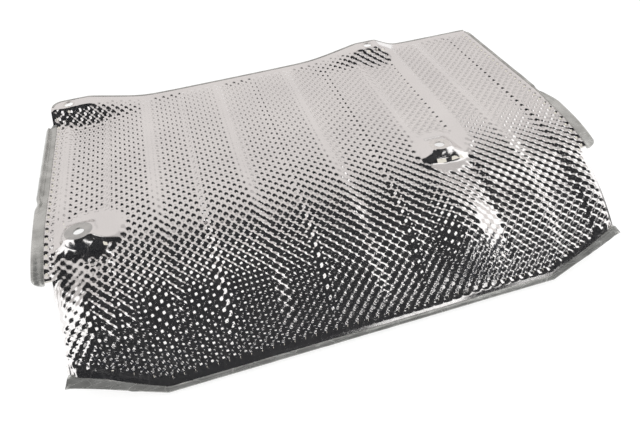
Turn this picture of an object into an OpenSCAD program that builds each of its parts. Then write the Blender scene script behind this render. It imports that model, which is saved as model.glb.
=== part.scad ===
// Exhaust manifold heat shield: a pressed sandwich of two thin aluminium sheets round an
// insulating mat. A nearly flat roof bends down into a front apron. Four raised bosses carry
// coined bolt seats, and folded hems close the edges.
// The shield is drawn with its roof level, then laid down on its rear edge and its front hem.

/* [Sheet] */
// Width of the roof between its two side hems
roof_w = 382; // [360:1:420]
// Width of the apron below the side notches
apron_w = 368; // [350:1:372]
// Length along the sheet from the rear edge to where the bend starts
roof_flat = 132; // [110:1:140]
// Length along the sheet from the rear edge to the foot of the apron
sheet_len = 283.5; // [275:0.5:300]
// Steepest slope of the apron below the roof, in degrees
apron_angle = 49; // [35:1:55]
// Thickness of each aluminium sheet
sheet_t = 0.5; // [0.3:0.1:0.8]
// Thickness of the insulating mat between the sheets
mat_t = 1.0; // [0.6:0.1:2]

/* [Flutes] */
// Distance from one flute's ridge to the next
flute_pitch = 63.5; // [50:0.5:80]
// Rise of a ridge above the middle of the sheet
flute_h = 0.8; // [0:0.1:1.5]
// Sideways place of one ridge
flute_x = -4; // [-30:1:30]

/* [Bolt seats] */
// Bore of all four bolt holes
bolt_d = 7; // [6:0.1:9]
// Thickness of the coined seats
seat_t = 1.2; // [0.8:0.1:1.8]
// Radius of the two rear seats
rear_seat_r = 5; // [4.5:0.1:5.5]
// Radius of the front left seat
front_left_seat_r = 9; // [7:0.1:10]
// Radius of the front right seat
front_right_seat_r = 7.5; // [7:0.1:10]
// Distance from the rear edge to the rear bolt holes
rear_bolt_y = 8.5; // [8:0.1:10]
// Distance from the rear edge to the front bolt holes
front_bolt_y = 170; // [165:1:175]
// Sideways places of the left bolt holes, rear and front
left_bolt_x = [-177, -165.5];
// Sideways places of the right bolt holes, rear and front
right_bolt_x = [90, 86];
// Height of the left seats above the flat roof, rear and front
left_seat_z = [10.5, 3.6];
// Height of the right seats above the flat roof, rear and front
right_seat_z = [8.6, 3.6];
// Lean of the front seats towards the rear edge, in degrees
front_seat_lean = 6; // [0:1:10]

/* [Hems] */
// Width of the rear hem
rear_hem_w = 2; // [1.5:0.1:2.5]
// Height that the hems stand proud of the sheet
hem_proud = 0.5; // [0.2:0.1:1]
// Width of the side hems
side_hem_w = 5.6; // [5:0.1:8]
// Width of the right side hem at its rear end, as a share of its full width
right_hem_rear_share = 0.3; // [0.2:0.05:1]
// Height of the upturned lip on the side hems
lip_h = 3.2; // [2:0.1:6]
// Length along the sheet to the front tip of the side hems
tongue_len = 200; // [196:1:206]
// Width of the front hem's straight run
front_hem_w = 4.5; // [3:0.1:6]
// Half length of the front hem's straight run
front_hem_half = 131; // [110:1:140]

/* [Hidden] */

wall_t = 2 * sheet_t + mat_t;
bend_len = sheet_len - roof_flat;
corner_r = 9;            // rounded rear left corner
seat_gap = 0.02;         // between a round seat and the flats of the sheet's hole
blend = 2.5;             // softness of the folds at the foot of each boss
pad_fade = 3;            // width of the edge that runs out of each flat pad
side_hem_start = [26, 5];        // where the left and right side hems start, from the rear edge
notch_len = 198;                 // where the apron's side notches are cut
hem_tip_x = apron_w / 2 + 3;     // the pointed ears at the ends of the front hem
hem_tip_len = sheet_len - 18.5;
hem_fold_len = sheet_len - 27.5; // where the folded corner meets the apron's side

function ease(t) = let (c = min(max(t, 0), 1)) c * c * (3 - 2 * c);
function mix(a, b, t) = a + (b - a) * t;

// ---- the bent sheet, from the rear edge at y = 0 towards -y ----

function slope_at(len) = apron_angle * ease((len - roof_flat) / bend_len);

profile_steps = 150;
profile_step = (sheet_len + 4) / profile_steps;
profile = [for (i = 0, y = 0, z = 0; i <= profile_steps;
                y = y - profile_step * cos(slope_at((i + 0.5) * profile_step)),
                z = z - profile_step * sin(slope_at((i + 0.5) * profile_step)),
                i = i + 1) [i * profile_step, y, z]];
y_by_len = [for (p = profile) [p[0], p[1]]];
len_by_y = [for (p = profile) [p[1], p[0]]];
z_by_y = [for (p = profile) [p[1], p[2]]];

function y_at(len) = lookup(len, y_by_len);
function len_at(y) = lookup(y, len_by_y);
function slope_here(y) = slope_at(len_at(y));

// Rounded zigzag across the width, which runs out at the rear edge and at the apron's foot
function flutes(x, y) =
    let (len = len_at(y), turn = 360 * (x - flute_x) / flute_pitch)
    flute_h * 0.9 * (cos(turn) + cos(3 * turn) / 9)
    * ease((len - 2) / 14) * ease((sheet_len - 6 - len) / 26);

// ---- bosses: a flat top with a flank of its own slope on each side ----
// [seat x, seat y, height, lean, seat radius, middle of top x, half width, half depth,
//  slopes to the left, right, front and rear]

bosses = [
    [left_bolt_x[0], -rear_bolt_y, left_seat_z[0], 0, rear_seat_r, 0, 16, 6, 2, 0.24, 0.7, 0.1],
    [right_bolt_x[0], -rear_bolt_y, right_seat_z[0], 0, rear_seat_r, 0, 9, 6, 0.2, 0.5, 0.5, 0.1],
    [left_bolt_x[1], -front_bolt_y, left_seat_z[1], front_seat_lean, front_left_seat_r,
     0, 7, 6, 0.9, 0.6, 1.7, 0.45],
    [right_bolt_x[1], -front_bolt_y, right_seat_z[1], front_seat_lean, front_right_seat_r,
     0, 6, 6, 0.8, 0.65, 1.7, 0.35]];

function flank(d, half, below, above) = max(abs(d) - half, 0) * (d < 0 ? below : above);
function top_plane(b, y) = b[2] - (y - b[1]) * tan(b[3]);
function boss_z(b, x, y) =
    top_plane(b, y) - norm([flank(x - b[0] - b[5], b[6], b[8], b[9]),
                            flank(y - b[1], b[7], b[10], b[11])]);
function soft_max(a, b) = (a + b + norm([a - b, blend])) / 2;
function add_bosses(z, x, y, i) =
    i == len(bosses) ? z : add_bosses(soft_max(z, boss_z(bosses[i], x, y)), x, y, i + 1);
function flatten(z, x, y, i) =
    i == len(bosses) ? z
    : let (b = bosses[i], r = norm([x - b[0], y - b[1]]),
           hold = 1 - ease((r - b[4] * 1.03) / pad_fade))
      flatten(mix(z, top_plane(b, y), hold), x, y, i + 1);

// A rounded buttress runs down the apron from each front boss and spreads as it goes.
// [boss, height, sideways shift, spread at its top, spread at its foot]
buttresses = [[bosses[2], 9, 2, 12, 21], [bosses[3], 9, -4, 12, 22]];
buttress_len = 88;
buttress_peak = 0.66;    // where it stands highest, as a share of its length
function buttress(t, x, y) =
    let (b = t[0], down = (b[1] - 8 - y) / buttress_len,
         spread = mix(t[3], t[4], min(max(down, 0), 1)))
    t[1] * ease(down / buttress_peak) * ease((1 - down) / (1 - buttress_peak))
    * exp(-pow((x - b[0] - t[2]) / spread, 2));

// Height of the outer face over the plan point x, y
function face_z(x, y) =
    flatten(add_bosses(lookup(y, z_by_y) + flutes(x, y)
                       + buttress(buttresses[0], x, y) + buttress(buttresses[1], x, y), x, y, 0),
            x, y, 0);
// A point a given depth below the outer face, measured square to the bent sheet
function under(x, y, depth) = [x, y, face_z(x, y) - depth / cos(slope_here(y))];

// ---- outline of the sheet ----

function rear_y(x) =
    x < corner_r - roof_w / 2
    ? -(corner_r - sqrt(max(pow(corner_r, 2) - pow(x + roof_w / 2 - corner_r, 2), 0)))
    : 0;
hem_in = [[0, sheet_len - front_hem_w], [front_hem_half - 1.5, sheet_len - front_hem_w],
          [apron_w / 2 - 3.5, hem_fold_len + 3.5], [apron_w / 2 - 0.5, hem_fold_len],
          [hem_tip_x, hem_tip_len - 0.4]];
hem_out = [[0, sheet_len], [front_hem_half, sheet_len], [hem_tip_x, hem_tip_len]];
function foot_y(x) = y_at(lookup(abs(x), hem_in));

// ---- grid of the sheet: rows run from the rear edge to the foot ----

ring = [-1, -tan(22.5), 0, tan(22.5), 1];   // five lines that cross a round seat
cross_n = [18, 6];                          // columns between the seats, and right of them
rows_mid = 10;
rows_foot = 9;
notch_y = y_at(notch_len);
rear_zone = 33;      // depth of the rows that follow the rounded rear corner
rear_rows = concat([-rear_hem_w], [for (k = ring) -rear_bolt_y - k * rear_seat_r],
                      [-17.5, -22, -27, -rear_zone]);
front_rows = [for (k = ring) -front_bolt_y - k * front_left_seat_r];
row_y = concat(rear_rows,
               [for (k = [1 : rows_mid]) mix(-rear_zone, front_rows[0], k / (rows_mid + 1))],
               front_rows, [-front_bolt_y - 12, -front_bolt_y - 15, -front_bolt_y - 20, notch_y]);
fixed_rows = len(row_y);
rows = fixed_rows + rows_foot;
front_row = len(rear_rows) + rows_mid;

function toward_front(y) = ease((-y - rear_zone) / 100);
function seat_x(pair, y) = mix(pair[0], pair[1], toward_front(y));
function columns(y) =
    let (left = seat_x(left_bolt_x, y), right = seat_x(right_bolt_x, y),
         r = mix(rear_seat_r, front_left_seat_r, toward_front(y)),
         s = mix(rear_seat_r, front_right_seat_r, toward_front(y)))
    concat([-roof_w / 2, -apron_w / 2], [for (k = ring) left + k * r],
           [for (k = [1 : cross_n[0]]) mix(left + r, right - s, k / (cross_n[0] + 1))],
           [for (k = ring) right + k * s],
           [for (k = [1 : cross_n[1]]) mix(right + s, apron_w / 2, k / (cross_n[1] + 1))],
           [apron_w / 2, roof_w / 2]);
cols = 14 + cross_n[0] + cross_n[1];
left_col = 2;
right_col = 7 + cross_n[0];

// Each round hole takes the place of a four by four block: [first column, first row, boss]
holes = [[left_col, 1, 0], [right_col, 1, 1], [left_col, front_row, 2], [right_col, front_row, 3]];
function in_hole(i, j) =
    len([for (h = holes) if (i >= h[0] && i < h[0] + 4 && j >= h[1] && j < h[1] + 4) 1]) > 0;
function on_rim(h, i, j) =
    let (a = i - h[0], b = j - h[1])
    min(a, b) >= 0 && max(a, b) <= 4 && (a == 0 || a == 4 || b == 0 || b == 4);
function has_cell(i, j) =
    i >= 0 && j >= 0 && i < cols - 1 && j < rows - 1 && !in_hole(i, j)
    && (j < fixed_rows - 1 || (i > 0 && i < cols - 2));

function plain_point(i, j) =
    j < fixed_rows
    ? let (x = columns(row_y[j])[i], start = rear_y(x) - rear_hem_w,
           y = row_y[j] > -rear_zone
               ? mix(start, -rear_zone, (row_y[j] + rear_hem_w) / (rear_hem_w - rear_zone))
               : row_y[j])
      [x, y]
    : let (x = columns(notch_y)[i]) [x, mix(notch_y, foot_y(x), (j - fixed_rows + 1) / rows_foot)];
function grid_point(i, j) =
    let (rim = [for (h = holes) if (on_rim(h, i, j)) h])
    len(rim) == 0 ? plain_point(i, j)
    : let (h = rim[0], b = bosses[h[2]], d = [ring[i - h[0]], -ring[j - h[1]]])
      [b[0], b[1]] + d / norm(d) * (b[4] / cos(11.25) + seat_gap);

plan = [for (j = [0 : rows - 1]) [for (i = [0 : cols - 1]) grid_point(i, j)]];

// ---- solids between two depths under a grid of plan points ----

// Both triangles of a four-sided face
function pair(a, b, c, d) = [[a, b, c], [a, c, d]];

// points: rows of [x, y, top z, bottom z]; has: 1 for each cell that is there
module slab(points, has) {
    n_rows = len(points);
    n_cols = len(points[0]);
    under_by = n_rows * n_cols;
    function at(i, j) = j * n_cols + i;
    function there(i, j) = i >= 0 && j >= 0 && i < n_cols - 1 && j < n_rows - 1 && has[j][i];
    function side(p, q) = pair(q, p, p + under_by, q + under_by);
    verts = concat([for (row = points) for (p = row) [p[0], p[1], p[2]]],
                   [for (row = points) for (p = row) [p[0], p[1], p[3]]]);
    faces = [for (j = [0 : n_rows - 2]) for (i = [0 : n_cols - 2]) if (there(i, j))
             let (a = at(i, j), b = at(i + 1, j), c = at(i + 1, j + 1), d = at(i, j + 1))
             for (t = concat(pair(a, b, c, d),
                             pair(d + under_by, c + under_by, b + under_by, a + under_by),
                             there(i, j - 1) ? [] : side(a, b),
                             there(i + 1, j) ? [] : side(b, c),
                             there(i, j + 1) ? [] : side(c, d),
                             there(i - 1, j) ? [] : side(d, a))) t];
    polyhedron(verts, faces);
}

module layer(top, bottom) {
    cells = [for (j = [0 : rows - 2]) [for (i = [0 : cols - 2]) has_cell(i, j)]];
    slab([for (row = plan) [for (p = row) [p[0], p[1], under(p[0], p[1], top)[2],
                                           under(p[0], p[1], bottom)[2]]]], cells);
}

// A strip whose rows of plan points carry their own rise above the sheet
module strip(points, top, bottom) {
    n = len(points[0]) - 1;
    slab([for (row = points) [for (p = row)
              let (rise = len(p) > 2 ? p[2] : 0)
              [p[0], p[1], under(p[0], p[1], top)[2] + rise,
               under(p[0], p[1], bottom)[2] + rise]]],
         [for (row = points) [for (k = [0 : n - 1]) true]]);
}

// ---- lying down on the rear hem and the front hem ----

rear_low = -(wall_t + 0.2);
foot = [y_at(sheet_len), lookup(y_at(sheet_len), z_by_y) - (wall_t + 0.2) / cos(apron_angle)];
lie = atan2(rear_low - foot[1], -foot[0]);
rear_most = left_seat_z[0] * sin(lie);
front_most = foot[0] * cos(lie) + foot[1] * sin(lie);

module lay_down() {
    translate([0, -(rear_most + front_most) / 2, -rear_low * cos(lie)])
        rotate([-lie, 0, 0]) children();
}

// ---- parts ----

module outer_sheet() {
    color("gainsboro") lay_down() layer(0, sheet_t);
}

module insulation_mat() {
    color("tan") lay_down() layer(sheet_t, sheet_t + mat_t);
}

module inner_sheet() {
    color("darkgray") lay_down() layer(sheet_t + mat_t, wall_t);
}

module rear_hem() {
    x_list = columns(-rear_hem_w);
    color("silver") lay_down()
        strip([[for (x = x_list) [x, rear_y(x)]],
               [for (x = x_list) [x, rear_y(x) - rear_hem_w]]], 0, wall_t + 0.2);
}

// Front hem from one sideways place to another, in a number of steps
module hem_run(from, to, steps) {
    x_list = [for (k = [0 : steps]) mix(from, to, k / steps)];
    function edge(x, outline) = [x, y_at(lookup(abs(x), outline))];
    color("silver") lay_down()
        strip([[for (x = x_list) edge(x, hem_in)], [for (x = x_list) edge(x, hem_out)]],
              -hem_proud, wall_t + 0.2);
}

module front_hem() {
    hem_run(-front_hem_half, front_hem_half, 36);
}

module front_hem_left_corner() {
    hem_run(-hem_tip_x, -front_hem_half, 16);
}

module front_hem_right_corner() {
    hem_run(front_hem_half, hem_tip_x, 16);
}

// Side hem on the left (-1) or right (1): a flat band, then a lip that lies down at the tongue
module side_hem(side, start) {
    steps = 26;
    tip = 6;
    function share(len) = side < 0 ? 1 : mix(right_hem_rear_share, 1, ease((len - 126) / 26));
    function out(len, part) =
        roof_w / 2 + part * side_hem_w * share(len) * sqrt(max(1 - pow(max(len - tongue_len + tip, 0) / tip, 2), 0.05));
    function rise(len, part) = max(part - 0.45, 0) / 0.55 * lip_h * share(len) * (1 - ease((len - 120) / 40));
    function mark(len, part) = [side * out(len, part), y_at(len), rise(len, part)];
    lens = [for (k = [0 : steps]) mix(start, tongue_len, 1 - pow(1 - k / steps, 1.3))];
    parts = side < 0 ? [1, 0.72, 0.45, 0] : [0, 0.45, 0.72, 1];
    color("silver") lay_down()
        strip([for (l = lens) [for (part = parts) mark(l, part)]], 0, wall_t);
}

module left_side_hem() {
    side_hem(-1, side_hem_start[0]);
}

module right_side_hem() {
    side_hem(1, side_hem_start[1]);
}

module bolt_seat(b) {
    color("lightsteelblue") lay_down()
        translate([b[0], b[1], b[2]]) rotate([-b[3], 0, 0]) translate([0, 0, -seat_t])
        difference() {
            cylinder(h = seat_t, r = b[4], $fn = 96);
            translate([0, 0, -1]) cylinder(h = seat_t + 2, d = bolt_d, $fn = 96);
        }
}

module rear_left_bolt_seat() {
    bolt_seat(bosses[0]);
}

module rear_right_bolt_seat() {
    bolt_seat(bosses[1]);
}

module front_left_bolt_seat() {
    bolt_seat(bosses[2]);
}

module front_right_bolt_seat() {
    bolt_seat(bosses[3]);
}

outer_sheet();
insulation_mat();
inner_sheet();
rear_hem();
front_hem();
front_hem_left_corner();
front_hem_right_corner();
left_side_hem();
right_side_hem();
rear_left_bolt_seat();
rear_right_bolt_seat();
front_left_bolt_seat();
front_right_bolt_seat();
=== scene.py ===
# Exhaust manifold heat shield: embossed sandwich sheet, folded hems and coined bolt seats
import math
import bpy
import numpy as np
from mathutils import Matrix, Vector


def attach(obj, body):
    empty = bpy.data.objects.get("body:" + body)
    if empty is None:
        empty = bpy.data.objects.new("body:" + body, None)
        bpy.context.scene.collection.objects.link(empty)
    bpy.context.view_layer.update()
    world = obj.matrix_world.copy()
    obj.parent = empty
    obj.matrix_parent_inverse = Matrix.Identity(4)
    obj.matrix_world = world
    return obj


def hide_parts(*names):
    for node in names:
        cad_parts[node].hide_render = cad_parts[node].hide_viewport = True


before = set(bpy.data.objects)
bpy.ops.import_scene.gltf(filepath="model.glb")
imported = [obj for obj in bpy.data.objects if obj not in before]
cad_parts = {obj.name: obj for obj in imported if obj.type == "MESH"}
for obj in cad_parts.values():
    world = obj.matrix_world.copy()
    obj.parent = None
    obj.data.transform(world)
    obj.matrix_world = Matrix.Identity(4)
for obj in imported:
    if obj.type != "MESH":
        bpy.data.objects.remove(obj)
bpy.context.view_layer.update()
rng = np.random.default_rng(7)
scene = bpy.context.scene

# The pressed shape, in millimetres, with the roof level and the rear edge at y = 0
press = {
    "roofWidth": 382, "apronWidth": 368,
    "roofFlat": 132, "sheetLength": 283.5, "apronAngle": 49,
    "sheetThick": 0.5, "matThick": 1.0,
    "flutePitch": 63.5, "fluteHeight": 0.8, "fluteX": -4.5,
    "fluteTop": 27, "fluteDrop": 12, "fluteRise": 7,       # widths of one flute's crown and of its two sides
    "fluteEnds": ((2, 14), (6, 26)),                       # where they start and end, and how long they fade
    "cornerRound": 9, "notchLength": 198,
    "blend": 2.5, "padFade": 3,
    "buttressFrom": 8, "buttressLength": 88, "buttressPeak": 0.66,
    "hemDrop": 0.2,                                        # how far the hems stand below the inner sheet
}
wall = 2 * press["sheetThick"] + press["matThick"]

# seat: centre, height, lean, radius; top: sideways shift, half width, half depth;
# slopes: left, right, front, rear; buttress: height, sideways shift, spread at its top and its foot;
# smooth: shift, then half width and half depth of the area with no knobs
bosses = {
    "rear_left": {"seat": (-177, -8.5, 10.5, 0, 5), "top": (0, 16, 6), "slopes": (2, 0.24, 0.7, 0.1),
                  "buttress": (0, 0, 1, 1), "smooth": (5, 3, 26, 9)},
    "rear_right": {"seat": (90, -8.5, 8.6, 0, 5), "top": (0, 9, 6), "slopes": (0.2, 0.5, 0.5, 0.1),
                   "buttress": (0, 0, 1, 1), "smooth": (-2, 3, 28, 9)},
    "front_left": {"seat": (-165.5, -170, 3.6, 6, 9), "top": (0, 7, 6), "slopes": (0.9, 0.6, 1.7, 0.45),
                   "buttress": (9, 2, 12, 21), "smooth": (6.5, 2, 20, 18)},
    "front_right": {"seat": (86, -170, 3.6, 6, 7.5), "top": (0, 6, 6), "slopes": (0.8, 0.65, 1.7, 0.35),
                    "buttress": (9, -4, 12, 22), "smooth": (3, 0, 18, 20)},
}


def ease(t):
    c = np.clip(t, 0, 1)
    return c * c * (3 - 2 * c)


def mix(a, b, t):
    return a + (b - a) * t


def slopeAt(length):
    bend = press["sheetLength"] - press["roofFlat"]
    return np.radians(press["apronAngle"]) * ease((length - press["roofFlat"]) / bend)


steps = 1500
profileStep = (press["sheetLength"] + 4) / steps
middles = (np.arange(steps) + 0.5) * profileStep
profileLength = np.arange(steps + 1) * profileStep
profileY = -np.concatenate([[0], np.cumsum(np.cos(slopeAt(middles)))]) * profileStep
profileZ = -np.concatenate([[0], np.cumsum(np.sin(slopeAt(middles)))]) * profileStep


def yAt(length):
    return np.interp(length, profileLength, profileY)


def lengthAt(y):
    return np.interp(-y, -profileY, profileLength)


def profileHeight(y):
    return np.interp(-y, -profileY, profileZ)


# Flat crowns and valleys with a gentle side and a steeper one between them
def flutes(x, y):
    length = lengthAt(y)
    pitch, top = press["flutePitch"], press["fluteTop"]
    at = (x - press["fluteX"] + pitch / 2) % pitch - pitch / 2
    crown = ease((at + top / 2) / press["fluteRise"] + 1) * (1 - ease((at - top / 2) / press["fluteDrop"]))
    (rearStart, rearFade), (footEnd, footFade) = press["fluteEnds"]
    fade = ease((length - rearStart) / rearFade) * ease((press["sheetLength"] - footEnd - length) / footFade)
    return press["fluteHeight"] * (2 * crown - 1) * fade


def topPlane(boss, y):
    seat = boss["seat"]
    return seat[2] - (y - seat[1]) * math.tan(math.radians(seat[3]))


def flank(d, half, below, above):
    return np.maximum(np.abs(d) - half, 0) * np.where(d < 0, below, above)


def bossHeight(boss, x, y):
    shift, halfWidth, halfDepth = boss["top"]
    left, right, front, rear = boss["slopes"]
    across = flank(x - boss["seat"][0] - shift, halfWidth, left, right)
    along = flank(y - boss["seat"][1], halfDepth, front, rear)
    return topPlane(boss, y) - np.hypot(across, along)


def buttress(boss, x, y):
    height, shift, topSpread, footSpread = boss["buttress"]
    down = (boss["seat"][1] - press["buttressFrom"] - y) / press["buttressLength"]
    peak = press["buttressPeak"]
    spread = mix(topSpread, footSpread, np.clip(down, 0, 1))
    swell = np.exp(-((x - boss["seat"][0] - shift) / spread) ** 2)
    return height * ease(down / peak) * ease((1 - down) / (1 - peak)) * swell


def padShare(boss, x, y):
    seat = boss["seat"]
    away = np.hypot(x - seat[0], y - seat[1])
    return 1 - ease((away - seat[4] * 1.03) / press["padFade"])


def faceHeight(x, y):
    z = profileHeight(y) + flutes(x, y)
    for boss in bosses.values():
        z = z + buttress(boss, x, y)
    for boss in bosses.values():
        b = bossHeight(boss, x, y)
        z = (z + b + np.hypot(z - b, press["blend"])) / 2
    for boss in bosses.values():
        z = mix(z, topPlane(boss, y), padShare(boss, x, y))
    return z


def faceNormal(x, y):
    d = 0.4
    slopeX = (faceHeight(x + d, y) - faceHeight(x - d, y)) / (2 * d)
    slopeY = (faceHeight(x, y + d) - faceHeight(x, y - d)) / (2 * d)
    n = np.stack([-slopeX, -slopeY, np.ones_like(slopeX)], -1)
    return n / np.linalg.norm(n, axis=-1, keepdims=True)


# The shield lies on its rear edge and its front hem
rearLow = -(wall + press["hemDrop"])
footY = yAt(press["sheetLength"])
footZ = profileHeight(footY) + rearLow / math.cos(math.radians(press["apronAngle"]))
lie = math.atan2(rearLow - footZ, -footY)
rearMost = bosses["rear_left"]["seat"][2] * math.sin(lie)
frontMost = footY * math.cos(lie) + footZ * math.sin(lie)
layShift = np.array([0, -(rearMost + frontMost) / 2, -rearLow * math.cos(lie)])
layTurn = np.array([[1, 0, 0], [0, math.cos(lie), -math.sin(lie)], [0, math.sin(lie), math.cos(lie)]])


def layDown(points):
    return (np.asarray(points, float) @ layTurn + layShift) * 0.001


def onFace(x, length, lift):
    y = yAt(length)
    base = np.stack([x, y, faceHeight(x, y)], -1)
    return base + faceNormal(x, y) * lift[..., None]


# Outline of the foot: where the front hem starts and where it ends, as distances from the middle
hemIn = [(0, 279), (129.5, 279), (180.5, 259.5), (183.5, 256), (187, 264.6)]
hemOut = [(0, 283.5), (131, 283.5), (187, 265)]


def along(outline, x):
    px, pl = zip(*outline)
    return np.interp(np.abs(x), px, pl)


# Embossed knobs, in millimetres
knobs = {
    "pitchX": 7.0, "pitchLength": 7.16, "height": 1.9, "crestX": -191.1,
    "fine": 6,                                      # mesh lines for each knob pitch on a face that shows
    "coarse": 3,                                    # fine cells across one cell of a hidden face
    "rearFade": (4, 8), "sideFade": (1, 3), "footFade": (4.5, 2.5),   # smooth margin, then the fade
    "smoothFade": (0.92, 0.38),                     # the same round each seat, as shares of the smooth area
    "ridgeLoss": 0.5, "ridgeHalf": 3.5, "ridgeFrom": 2,               # flatter along each flute's edge
    "ridgeEnd": (165, 40),
    "band": 108.5, "bandHalf": 3.6, "bandSide": 2,  # a smooth lane up the steep side of one flute
    "bandEnd": (160, 14), "bandLoss": 0.9,
    "apronLoss": 0.08, "apronFade": (190, 72),                        # pressed flatter down the apron
    "flattened": [(-174, 208, 15, 28), (95, 240, 11, 20)],            # pressed flatter on each buttress
    "flattenedLoss": 0.72, "flattenedFade": (0.6, 0.5),
    "edgeCurl": -1.2, "edgeHalf": (4.5, 3), "edgeFrom": (1, 5),       # the apron's free side edges turn down
}


def fadeIn(distance, margin):
    start, width = margin
    return ease((distance - start) / width)


# Height of the knobs at a point, as a share of their full height
def knobShare(x, y):
    length = lengthAt(y)
    share = fadeIn(length, knobs["rearFade"]) * fadeIn(press["roofWidth"] / 2 - np.abs(x), knobs["sideFade"])
    for boss in bosses.values():
        shiftX, shiftY, halfWidth, halfDepth = boss["smooth"]
        centreX, centreY = boss["seat"][0] + shiftX, boss["seat"][1] + shiftY
        away = np.hypot((x - centreX) / halfWidth, (y - centreY) / halfDepth)
        share = share * fadeIn(away, knobs["smoothFade"])
    pitch = press["flutePitch"]
    ridgeX = press["fluteX"] + press["fluteTop"] / 2 + knobs["ridgeFrom"]
    fromRidge = (x - ridgeX + pitch / 2) % pitch - pitch / 2
    nearRidge = np.exp(-(fromRidge / knobs["ridgeHalf"]) ** 2)
    ridge = knobs["ridgeLoss"] * nearRidge * (1 - fadeIn(length, knobs["ridgeEnd"]))
    inBand = 1 - ease((np.abs(x - knobs["band"]) - knobs["bandHalf"]) / knobs["bandSide"])
    band = knobs["bandLoss"] * inBand * (1 - fadeIn(length, knobs["bandEnd"]))
    apron = knobs["apronLoss"] * fadeIn(length, knobs["apronFade"])
    footMargin, footWidth = knobs["footFade"]
    share = share * (1 - ease((length - along(hemIn, x) + footMargin) / footWidth))
    for centreX, centreLength, halfWidth, halfLength in knobs["flattened"]:
        away = np.hypot((x - centreX) / halfWidth, (length - centreLength) / halfLength)
        share = share * (1 - knobs["flattenedLoss"] * (1 - fadeIn(away, knobs["flattenedFade"])))
    return share * (1 - ridge) * (1 - band) * (1 - freeEdge(x, length)) * (1 - apron)


def freeEdge(x, length):
    (inward, across), (forward, fade) = knobs["edgeHalf"], knobs["edgeFrom"]
    nearEdge = ease((np.abs(x) - press["apronWidth"] / 2 + inward) / across)
    return nearEdge * ease((length - press["notchLength"] - forward) / fade)


def sheetPoints(x, y, depth):
    n = faceNormal(x, y)
    length = lengthAt(y)
    wave = (np.cos(2 * math.pi * (x - knobs["crestX"]) / knobs["pitchX"])
            * np.cos(2 * math.pi * length / knobs["pitchLength"]))
    lift = knobs["height"] / 2 * knobShare(x, y) * (wave - 1) + knobs["edgeCurl"] * freeEdge(x, length)
    base = np.stack([x, y, faceHeight(x, y)], -1)
    return base + n * (lift - depth)[..., None]


stepX = knobs["pitchX"] / knobs["fine"]
stepLength = knobs["pitchLength"] / knobs["fine"]
firstX = knobs["crestX"] + stepX
gridX = firstX + stepX * np.arange(int((press["roofWidth"] / 2 - firstX) / stepX) + 1)
gridLength = 1.2 + stepLength * np.arange(int(280.5 / stepLength))
for edge in (press["apronWidth"] / 2, press["roofWidth"] / 2):
    for side in (-1, 1):
        gridX[np.argmin(np.abs(gridX - side * edge))] = side * edge
gridLength[np.argmin(np.abs(gridLength - press["notchLength"]))] = press["notchLength"]
nCols, nRows = len(gridX), len(gridLength)
planX, planL = np.meshgrid(gridX, gridLength)
planY = yAt(planL)

# rounded rear left corner: the rows are pushed forward along the corner's edge
cornerStart = press["cornerRound"] - press["roofWidth"] / 2
inCorner = planX < cornerStart
cornerRise = np.sqrt(np.maximum(press["cornerRound"] ** 2 - (planX - cornerStart) ** 2, 0))
cornerY = press["cornerRound"] - cornerRise
planY = np.where(inCorner, planY - cornerY * (1 - ease(planL / 22)), planY)

midX = (planX[:-1, :-1] + planX[1:, 1:]) / 2
midL = (planL[:-1, :-1] + planL[1:, 1:]) / 2
hasCell = (midL < press["notchLength"]) | (np.abs(midX) < press["apronWidth"] / 2)
hasCell &= midL < along(hemIn, midX) + 2.2

# round holes: the block of cells round each seat is drawn onto a circle
for boss in bosses.values():
    sx, sy, _, _, radius = boss["seat"]
    ci = int(np.argmin(np.abs(gridX - sx)))
    cj = int(np.argmin(np.abs(gridLength - lengthAt(sy))))
    block = int(round(radius / stepX))
    reach = 2 * block
    di = np.arange(nCols)[None, :] - ci
    dj = np.arange(nRows)[:, None] - cj
    ringNo = np.maximum(np.abs(di), np.abs(dj))
    dirX, dirY = di + 0 * dj, -(dj + 0 * di)
    far = np.maximum(np.hypot(dirX, dirY), 1)
    circleX = sx + dirX / far * radius * ringNo / block
    circleY = sy + dirY / far * radius * ringNo / block
    hold = np.where(ringNo <= block, 1, 1 - ease((ringNo - block) / (reach - block)))
    planX = mix(planX, circleX, hold)
    planY = mix(planY, circleY, hold)
    ringCell = np.maximum(np.abs(di[:, :-1] + 0.5), np.abs(dj[:-1] + 0.5))
    hasCell &= ringCell > block
print("grid", nCols, nRows, "cells", int(hasCell.sum()))


def fullBlocks():
    k = knobs["coarse"]
    rows, cols = (nRows - 1) // k, (nCols - 1) // k
    return hasCell[:rows * k, :cols * k].reshape(rows, k, cols, k).all(axis=(1, 3))


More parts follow.
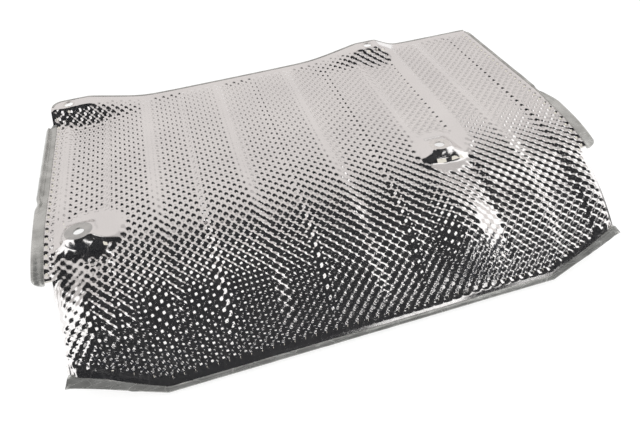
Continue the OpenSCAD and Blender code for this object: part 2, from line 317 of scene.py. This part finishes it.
def sheetFaces(topFine, bottomFine):
    k = knobs["coarse"]
    full = fullBlocks()
    count = nRows * nCols

    def at(i, j):
        return j * nCols + i

    def isFull(i, j):
        return 0 <= i < full.shape[1] and 0 <= j < full.shape[0] and full[j, i]

    def fineSide(cells, turned, offset):
        j, i = np.nonzero(cells)
        quads = np.stack([at(i, j), at(i, j + 1), at(i + 1, j + 1), at(i + 1, j)], 1) + offset
        return (quads[:, ::-1] if turned else quads).tolist()

    def coarseSide(turned, offset):
        loose = hasCell.copy()
        polygons = []
        for j, i in zip(*np.nonzero(full)):
            loose[j * k:(j + 1) * k, i * k:(i + 1) * k] = False
            x0, x1, y0, y1 = i * k, (i + 1) * k, j * k, (j + 1) * k
            loop = []
            sides = [(isFull(i - 1, j), [(x0, y) for y in range(y0, y1)]),
                     (isFull(i, j + 1), [(x, y1) for x in range(x0, x1)]),
                     (isFull(i + 1, j), [(x1, y) for y in range(y1, y0, -1)]),
                     (isFull(i, j - 1), [(x, y0) for x in range(x1, x0, -1)])]
            for whole, points in sides:
                loop += points[:1] if whole else points
            ids = [int(at(*p)) + offset for p in loop]
            polygons.append(ids[::-1] if turned else ids)
        return polygons + fineSide(loose, turned, offset)

    top = fineSide(hasCell, False, 0) if topFine else coarseSide(False, 0)
    bottom = fineSide(hasCell, True, count) if bottomFine else coarseSide(True, count)
    padded = np.pad(hasCell, 1)
    walls = []
    for j, i in zip(*np.nonzero(hasCell)):
        a, b, c, d = at(i, j), at(i, j + 1), at(i + 1, j + 1), at(i + 1, j)
        for gone, p, q in ((padded[j + 1, i], a, b), (padded[j + 2, i + 1], b, c),
                           (padded[j + 1, i + 2], c, d), (padded[j, i + 1], d, a)):
            if not gone:
                walls.append([int(q), int(p), int(p) + count, int(q) + count])
    return top + bottom + walls


def meshPiece(name, verts, faces, material, node, sharp=50):
    used = np.unique(np.concatenate([np.asarray(f) for f in faces]))
    renumber = np.zeros(len(verts), int)
    renumber[used] = np.arange(len(used))
    mesh = bpy.data.meshes.new(name)
    mesh.from_pydata(np.asarray(verts)[used].tolist(), [], [renumber[f].tolist() for f in faces])
    mesh.validate()
    mesh.update()
    mesh.shade_smooth()
    mesh.set_sharp_from_angle(angle=math.radians(sharp))
    mesh.materials.append(material)
    piece = bpy.data.objects.new(name, mesh)
    scene.collection.objects.link(piece)
    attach(piece, "root")
    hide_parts(node)
    print("made", name, len(mesh.polygons), "faces")
    return piece


# A metal whose tint and shine drift a little over the sheet, with fine grain and a few scuffs
def metal(name, finish):
    material = bpy.data.materials.new(name)
    material.use_nodes = True
    tree = material.node_tree
    shader = tree.nodes["Principled BSDF"]
    shader.inputs["Metallic"].default_value = finish.get("metallic", 1)
    place = tree.nodes.new("ShaderNodeTexCoord")
    stretch = tree.nodes.new("ShaderNodeMapping")
    stretch.inputs["Scale"].default_value = finish["grainStretch"]
    tree.links.new(place.outputs["Object"], stretch.inputs["Vector"])

    def noise(vector, scale, detail):
        cloud = tree.nodes.new("ShaderNodeTexNoise")
        cloud.inputs["Scale"].default_value = scale
        cloud.inputs["Detail"].default_value = detail
        tree.links.new(vector, cloud.inputs["Vector"])
        return cloud.outputs["Fac"]

    def spread(value, low, high, fromLow=0.3, fromHigh=0.7):
        span = tree.nodes.new("ShaderNodeMapRange")
        ends = {"From Min": fromLow, "From Max": fromHigh, "To Min": low, "To Max": high}
        for socket, number in ends.items():
            span.inputs[socket].default_value = number
        tree.links.new(value, span.inputs["Value"])
        return span.outputs["Result"]

    def calculate(kind, a, b):
        step = tree.nodes.new("ShaderNodeMath")
        step.operation = kind
        tree.links.new(a, step.inputs[0])
        tree.links.new(b, step.inputs[1])
        return step.outputs["Value"]

    drift = noise(place.outputs["Object"], finish["driftScale"], 3)
    grain = noise(stretch.outputs["Vector"], finish["grainScale"], 4)
    tint = tree.nodes.new("ShaderNodeMix")
    tint.data_type = "RGBA"
    tint.inputs["A"].default_value = (*finish["dull"], 1)
    tint.inputs["B"].default_value = (*finish["bright"], 1)
    tree.links.new(spread(drift, 0, 1), tint.inputs["Factor"])
    tree.links.new(tint.outputs["Result"], shader.inputs["Base Color"])

    scuffs = tree.nodes.new("ShaderNodeTexVoronoi")
    scuffs.feature = "DISTANCE_TO_EDGE"
    scuffs.inputs["Scale"].default_value = finish["scuffScale"]
    tree.links.new(stretch.outputs["Vector"], scuffs.inputs["Vector"])
    scuff = spread(scuffs.outputs["Distance"], finish["scuffRough"], 0, 0.0, 0.03)
    low, high = finish["roughness"]
    tree.links.new(calculate("ADD", spread(grain, low, high), scuff), shader.inputs["Roughness"])

    bump = tree.nodes.new("ShaderNodeBump")
    bump.inputs["Strength"].default_value = finish["bump"]
    bump.inputs["Distance"].default_value = 0.0002
    tree.links.new(calculate("SUBTRACT", grain, scuff), bump.inputs["Height"])
    tree.links.new(bump.outputs["Normal"], shader.inputs["Normal"])
    return material


brightFinish = {
    "bright": (0.82, 0.80, 0.79), "dull": (0.76, 0.74, 0.735), "roughness": (0.09, 0.17),
    "driftScale": 22, "grainScale": 900, "grainStretch": (1, 1, 1),
    "scuffScale": 60, "scuffRough": 0.06, "bump": 0.05,
}
innerFinish = {
    "bright": (0.78, 0.77, 0.76), "dull": (0.70, 0.69, 0.68), "roughness": (0.16, 0.28),
    "driftScale": 18, "grainScale": 700, "grainStretch": (1, 1, 1),
    "scuffScale": 45, "scuffRough": 0.1, "bump": 0.2,
}
hemFinish = {
    "metallic": 0.72,      # a little of the light scatters in its scuffed skin
    "bright": (0.56, 0.56, 0.54), "dull": (0.34, 0.34, 0.325), "roughness": (0.16, 0.3),
    "driftScale": 90, "grainScale": 500, "grainStretch": (0.25, 1, 1),
    "scuffScale": 220, "scuffRough": 0.15, "bump": 0.5,
}
seatFinish = {
    "bright": (0.80, 0.775, 0.75), "dull": (0.73, 0.71, 0.69), "roughness": (0.16, 0.28),
    "driftScale": 120, "grainScale": 900, "grainStretch": (1, 1, 1),
    "scuffScale": 300, "scuffRough": 0.1, "bump": 0.2,
}
# Front left seat: a rougher copy of the seat metal, with its colour darkened to grey as painted shade in
# place of a darker reflection
paintedShadeSeatFinish = {
    "bright": (0.56, 0.555, 0.54), "dull": (0.44, 0.44, 0.435), "roughness": (0.26, 0.4),
    "driftScale": 160, "grainScale": 900, "grainStretch": (1, 1, 1),
    "scuffScale": 340, "scuffRough": 0.15, "bump": 0.35,
}
brightSheet = metal("brightSheet", brightFinish)
innerMetal = metal("innerMetal", innerFinish)
hemMetal = metal("hemMetal", hemFinish)
seatMetal = metal("seatMetal", seatFinish)
paintedShadeSeatMetal = metal("paintedShadeSeatMetal", paintedShadeSeatFinish)

matFinish = {"pale": (0.80, 0.77, 0.70), "dark": (0.60, 0.56, 0.48), "fibreScale": 700, "stretch": (1, 1, 6)}


# Pressed mineral fibre: pale, dull and fuzzy, with fibres lying along the sheet
def fibre(name):
    material = bpy.data.materials.new(name)
    material.use_nodes = True
    tree = material.node_tree
    shader = tree.nodes["Principled BSDF"]
    shader.inputs["Roughness"].default_value = 0.95
    shader.inputs["Specular IOR Level"].default_value = 0.2
    place = tree.nodes.new("ShaderNodeTexCoord")
    stretch = tree.nodes.new("ShaderNodeMapping")
    stretch.inputs["Scale"].default_value = matFinish["stretch"]
    strands = tree.nodes.new("ShaderNodeTexNoise")
    strands.inputs["Scale"].default_value = matFinish["fibreScale"]
    strands.inputs["Detail"].default_value = 6
    strands.inputs["Distortion"].default_value = 1.5
    tint = tree.nodes.new("ShaderNodeMix")
    tint.data_type = "RGBA"
    tint.inputs["A"].default_value = (*matFinish["dark"], 1)
    tint.inputs["B"].default_value = (*matFinish["pale"], 1)
    bump = tree.nodes.new("ShaderNodeBump")
    bump.inputs["Strength"].default_value = 0.6
    bump.inputs["Distance"].default_value = 0.0003
    tree.links.new(place.outputs["Object"], stretch.inputs["Vector"])
    tree.links.new(stretch.outputs["Vector"], strands.inputs["Vector"])
    tree.links.new(strands.outputs["Fac"], tint.inputs["Factor"])
    tree.links.new(tint.outputs["Result"], shader.inputs["Base Color"])
    tree.links.new(strands.outputs["Fac"], bump.inputs["Height"])
    tree.links.new(bump.outputs["Normal"], shader.inputs["Normal"])
    return material


matFibre = fibre("matFibre")


def layerVerts(top, bottom):
    x, y = planX.ravel(), planY.ravel()
    return layDown(np.concatenate([sheetPoints(x, y, np.full_like(x, top)),
                                   sheetPoints(x, y, np.full_like(x, bottom))]))


sheetDepth, matDepth = press["sheetThick"], wall - press["sheetThick"]
meshPiece("outer_sheet_embossed", layerVerts(0, sheetDepth), sheetFaces(True, False),
          brightSheet, "outer_sheet")
meshPiece("insulation_mat_pressed", layerVerts(sheetDepth, matDepth), sheetFaces(False, False),
          matFibre, "insulation_mat")
meshPiece("inner_sheet_embossed", layerVerts(matDepth, wall), sheetFaces(False, True),
          innerMetal, "inner_sheet")


# A closed skin over rows of points: each row is one section of a folded strip
def sweep(name, sections, material, node, ring=False):
    rows, count = sections.shape[:2]
    faces = []
    for j in range(rows if ring else rows - 1):
        a, b = j * count, (j + 1) % rows * count
        faces += [[a + i, a + (i + 1) % count, b + (i + 1) % count, b + i] for i in range(count)]
    if not ring:
        faces += [list(range(count))[::-1], [(rows - 1) * count + i for i in range(count)]]
    return meshPiece(name, layDown(sections.reshape(-1, 3)), faces, material, node, 40)


# A slow wander along a strip, in millimetres, made of a few sines with random phases
def wander(t, waves, size):
    total = np.zeros_like(t)
    for wave in waves:
        total = total + np.sin(2 * math.pi * (t / wave + rng.random()))
    return size * total / len(waves)


rearHem = {"section": [(2.6, -0.1), (2.35, 0.16), (1.3, 0.3), (0.4, 0.14), (0, -0.4), (0, -1.6), (0.3, -2.1),
                       (1.0, -2.2), (2.4, -2.2)], "corner": 14, "step": 3, "wave": 0.12}


def makeRearHem():
    r, halfWidth = press["cornerRound"], press["roofWidth"] / 2
    angles = np.linspace(math.pi, math.pi / 2, rearHem["corner"])
    straight = np.arange(r - halfWidth + rearHem["step"], halfWidth, rearHem["step"])
    x = np.concatenate([r - halfWidth + r * np.cos(angles), straight, [halfWidth]])
    y = np.concatenate([-r + r * np.sin(angles), np.zeros(len(straight) + 1)])
    inX = np.concatenate([-np.cos(angles), np.zeros(len(straight) + 1)])
    inY = np.concatenate([-np.sin(angles), -np.ones(len(straight) + 1)])
    rough = wander(x, (37, 61, 14), rearHem["wave"])
    rows = []
    for inward, lift in rearHem["section"]:
        px, py = x + inX * inward, y + inY * (inward + (rough if inward > 2 else 0))
        rows.append(onFace(px, lengthAt(py), np.full_like(x, lift)))
    sections = np.stack(rows, 1)
    sweep("rear_hem_folded", sections[:, ::-1], hemMetal, "rear_hem")


# Side hems: share of the width across, height. The rolled lip dies away towards the tongue, and lipTop's
# heights are shares of the lip.
sideHem = {
    "width": 5.6, "lip": 3.2, "lipEnd": (120, 40), "tongue": 200, "tip": 6, "starts": (26, 5), "point": 7,
    "flat": [(-0.42, -0.05), (-0.38, 0.5), (0.0, 0.62), (0.28, 0.35)],
    "lipTop": [(0.42, 0.3), (0.5, 0.72), (0.56, 0.84), (0.64, 0.8), (0.86, 0.58), (1.0, 0.3)],
    "under": [(1.0, -0.7), (0.9, -1.7), (0.6, -2.0), (-0.3, -2.05)],
    "lipLeast": 0.45, "wave": 0.16, "pointFor": 30,
    "kink": 128, "kinkHalf": 4, "kinkIn": 0.9, "kinkDown": 0.8,
    "rearShare": (1, 0.3), "widenFrom": 126, "widenFor": 26,   # the right hem is narrow as far as its tongue
}


def makeSideHem(name, side, start):
    tipStart = sideHem["tongue"] - sideHem["tip"]
    tipRound = np.sin(np.linspace(0, math.pi / 2, 9))
    length = np.concatenate([np.arange(start, tipStart, 2.0), tipStart + sideHem["tip"] * tipRound])
    past = np.maximum(length - tipStart, 0) / sideHem["tip"]
    taper = np.sqrt(np.maximum(1 - past ** 2, 0.02))
    rear = sideHem["rearShare"][0 if side < 0 else 1]
    widen = mix(rear, 1, ease((length - sideHem["widenFrom"]) / sideHem["widenFor"]))
    lip = sideHem["lip"] * widen * (1 - ease((length - sideHem["lipEnd"][0]) / sideHem["lipEnd"][1]))
    kink = np.exp(-((length - sideHem["kink"]) / sideHem["kinkHalf"]) ** 2)
    wave = wander(length, (46, 71, 23), sideHem["wave"])
    edge = press["roofWidth"] / 2
    rows = []
    outline = [(part, np.full_like(length, h)) for part, h in sideHem["flat"]]
    for part, share in sideHem["lipTop"]:
        lowest = sideHem["lipLeast"] - 5 * max(part - 0.9, 0)
        outline.append((part, np.maximum(share * lip, lowest)))
    outline += [(part, np.full_like(length, h)) for part, h in sideHem["under"]]
    for part, lift in outline:
        out = sideHem["width"] * widen * part * (taper if part > 0 else np.ones_like(taper))
        out = out + (wave - sideHem["kinkIn"] * kink if part > 0.5 else 0.5 * wave if part < 0 else 0)
        back = sideHem["point"] * max(part, 0) * (1 - ease((length - start) / sideHem["pointFor"]))
        lifted = lift - (sideHem["kinkDown"] * kink if 0.3 < part and lift.max() > 0 else 0)
        rows.append(onFace(side * (edge + np.minimum(out, sideHem["width"])), length + back, lifted))
    sections = np.stack(rows, 1)
    sections = sections[:, ::-1] if side > 0 else sections      # faces outward on both sides
    sweep(name, sections, hemMetal, name.replace("_folded", ""))


# Front hem: share of the way from the inner line to the outer one, height
frontHem = {
    "section": [(0.14, -0.9), (0.18, 0.2), (0.26, 0.5), (0.4, 0.25), (0.62, 0.2), (0.84, 0.6), (0.95, 0.3),
                (1.0, -0.6), (0.98, -1.5), (0.9, -2.1), (0.6, -2.2), (0.05, -2.2)],
    "step": 2.5, "wave": 0.35, "bow": 0.16, "straight": 131, "tip": 187, "pleatHalf": 1.6, "pleatRise": 1.5,
}


def makeFrontHem(name, start, end, pleat=None):
    x = np.linspace(start, end, int(abs(end - start) / frontHem["step"]) + 1)
    inner, outer = along(hemIn, x), along(hemOut, x)
    wave = wander(x, (31, 47, 12), frontHem["wave"]) * ease((outer - inner) / 4)
    bow = wander(x, (19, 43), frontHem["bow"])
    rows = []
    for part, h in frontHem["section"]:
        length = mix(inner, outer, part) + (wave if part < 0.1 and h > -2 else 0)
        lift = np.full_like(x, h) + (bow if 0.1 < part < 0.9 and h > 0 else 0)
        if pleat:
            reach = np.abs(x) - pleat["foot"] - pleat["slant"] * (1 - part)
            if h > -1:
                ridge = pleat["ridge"] * np.exp(-(reach / frontHem["pleatHalf"]) ** 2)
                lift = lift + ridge + pleat["step"] * ease(reach / frontHem["pleatRise"])
        rows.append(onFace(x, length, lift))
    sections = np.stack(rows, 1)
    sweep(name, sections, hemMetal, name.replace("_folded", ""))


makeRearHem()
makeSideHem("left_side_hem_folded", -1, sideHem["starts"][0])
makeSideHem("right_side_hem_folded", 1, sideHem["starts"][1])
makeFrontHem("front_hem_folded", -frontHem["straight"], frontHem["straight"])
makeFrontHem("front_hem_left_corner_folded", -frontHem["tip"], -frontHem["straight"],
             {"foot": 150, "slant": 16, "ridge": 0.7, "step": 0.25})
makeFrontHem("front_hem_right_corner_folded", frontHem["straight"], frontHem["tip"],
             {"foot": 158, "slant": 9, "ridge": 0.35, "step": 0.4})
print("hems done")

# Bolt seats, turned round their holes: radius as a share of the way from the hole to the rim, height
boltSeat = {
    "hole": 3.5, "sides": 64,
    "section": [(0, -1.2), (0, -0.3), (0.03, -0.1), (0.09, -0.02), (0.4, -0.06), (0.48, -0.14),
                (0.56, -0.14), (0.63, -0.04), (0.86, 0.0), (0.94, 0.06), (1.0, -0.02), (1.0, -1.2)],
}


def makeBoltSeat(name, boss, material):
    cx, cy, cz, lean, radius = boss["seat"]
    angles = np.linspace(0, 2 * math.pi, boltSeat["sides"], endpoint=False)
    tilt = math.radians(lean)
    rows = []
    for part, h in boltSeat["section"]:
        r = mix(boltSeat["hole"], radius, part)
        x, v = r * np.cos(angles), r * np.sin(angles)
        rows.append(np.stack([cx + x, cy + v * math.cos(tilt) + h * math.sin(tilt),
                              cz - v * math.sin(tilt) + h * math.cos(tilt)], -1))
    sections = np.stack(rows, 1)
    sweep(name + "_bolt_seat_coined", sections, material, name + "_bolt_seat", ring=True)


for corner, boss in bosses.items():
    # the front left seat takes the darkened metal, whose grey is painted shade
    makeBoltSeat(corner, boss, paintedShadeSeatMetal if corner == "front_left" else seatMetal)
print("bolt seats done")

world = bpy.data.worlds.new("studio")
world.use_nodes = True
world.node_tree.nodes["Background"].inputs["Color"].default_value = (1, 1, 1, 1)
world.node_tree.nodes["Background"].inputs["Strength"].default_value = 1.15
scene.world = world
scene.view_settings.view_transform = "Standard"


def stagePlane(name, corners, material):
    mesh = bpy.data.meshes.new(name)
    mesh.from_pydata(corners, [], [range(len(corners))])
    mesh.materials.append(material)
    plane = bpy.data.objects.new(name, mesh)
    scene.collection.objects.link(plane)
    return plane


floorPaint = bpy.data.materials.new("floorPaint")
floorPaint.use_nodes = True
floorShader = floorPaint.node_tree.nodes["Principled BSDF"]
floorShader.inputs["Base Color"].default_value = (0.4, 0.4, 0.4, 1)
floorShader.inputs["Emission Color"].default_value = (1, 1, 1, 1)
floorShader.inputs["Emission Strength"].default_value = 0.66
floorShader.inputs["Roughness"].default_value = 0.9
floorShader.inputs["Specular IOR Level"].default_value = 0
stagePlane("studio_floor", [(-4, -4, 0), (4, -4, 0), (4, 4, 0), (-4, 4, 0)], floorPaint)


def card(name, corners, colour, strength):
    paint = bpy.data.materials.new(name + "_light")
    paint.use_nodes = True
    tree = paint.node_tree
    tree.nodes.clear()
    glow = tree.nodes.new("ShaderNodeEmission")
    glow.inputs["Color"].default_value = (*colour, 1)
    glow.inputs["Strength"].default_value = strength
    out = tree.nodes.new("ShaderNodeOutputMaterial")
    tree.links.new(glow.outputs["Emission"], out.inputs["Surface"])
    panel = stagePlane(name, corners, paint)
    panel.visible_camera = False
    panel.visible_diffuse = False
    panel.visible_shadow = False
    return panel


# Cards that only the metal sees: pale walls behind and at both sides, a white ceiling with a dark cloth
# under it, dark cloths in front, and a skylight and a window at the front right
room = {
    "half": 3.0, "back": 1.5, "front": -3.0, "ceiling": 1.6, "overFloor": 0.004,
    "warm": (1, 0.965, 0.95), "cool": (0.8, 0.85, 1), "white": (1, 1, 1),
    "overhead": [(-2.4, -3), (2.9, -3), (1.4, -0.6), (0.5, 0.75), (-0.9, 1.3), (-1.2, -0.6)],
    "skylight": [(0.5, -2.5), (1.5, -2.5), (1.5, -1.9), (0.5, -1.9)],
    "leftEdge": -1.3, "rightEdge": -0.9, "window": (0.5, 1.6, 0.4, 1.1),    # left, right, bottom and top
}
half, back, front, ceiling = room["half"], room["back"], room["front"], room["ceiling"]


def uprightCard(name, start, end, colour, strength, bottom=0.01, top=1.6):
    card(name, [(*start, bottom), (*end, bottom), (*end, top), (*start, top)], colour, strength)


def levelCard(name, outline, height, colour, strength):
    card(name, [(*corner, height) for corner in outline], colour, strength)


def strip(near, far):
    return [(-half, near), (half, near), (half, far), (-half, far)]


windowLeft, windowRight, windowBottom, windowTop = room["window"]
uprightCard("wall_behind", (-half, back), (half, back), room["warm"], 0.84)
uprightCard("wall_left", (-half, room["leftEdge"]), (-half, back), room["white"], 1.2)
uprightCard("cloth_left", (-half, front), (-half, room["leftEdge"]), room["cool"], 0.04)
uprightCard("wall_right", (half, room["rightEdge"]), (half, back), room["warm"], 0.9)
uprightCard("cloth_right", (half, front), (half, room["rightEdge"]), room["cool"], 0.05)
uprightCard("front_cloth", (-half, front), (half, front), room["cool"], 0.03)
uprightCard("front_window", (windowLeft, front + 0.02), (windowRight, front + 0.02), room["white"], 1.4,
            windowBottom, windowTop)
levelCard("wall_above", strip(0.6, back), ceiling + 0.01, room["warm"], 0.62)
levelCard("ceiling_sides", strip(front, 0.6), ceiling + 0.01, room["white"], 1.35)
levelCard("wall_below", strip(0.17, back), room["overFloor"], room["warm"], 0.72)
levelCard("overhead_cloth", room["overhead"], ceiling, room["cool"], 0.015)
levelCard("skylight", room["skylight"], ceiling - 0.01, room["white"], 1.3)
levelCard("table_cloth", strip(front, -0.2), room["overFloor"], room["cool"], 0.12)

print("studio done")

eye = {
    "at": (-0.0707, -0.2647, 0.3376),
    "forward": (0.1594, 0.5583, -0.8142),
    "up": (0.2425, 0.7774, 0.5805),
    "lens": 31.06,
}
forward, up = Vector(eye["forward"]).normalized(), Vector(eye["up"])
right = forward.cross(up).normalized()
up = right.cross(forward)
turn = Matrix((right, up, -forward)).transposed().to_4x4()
cameraData = bpy.data.cameras.new("camera")
cameraData.lens = eye["lens"]
cameraData.sensor_width = 36
cameraData.clip_start = 0.01
camera = bpy.data.objects.new("camera", cameraData)
camera.matrix_world = Matrix.Translation(eye["at"]) @ turn
scene.collection.objects.link(camera)
scene.camera = camera

print("camera done")
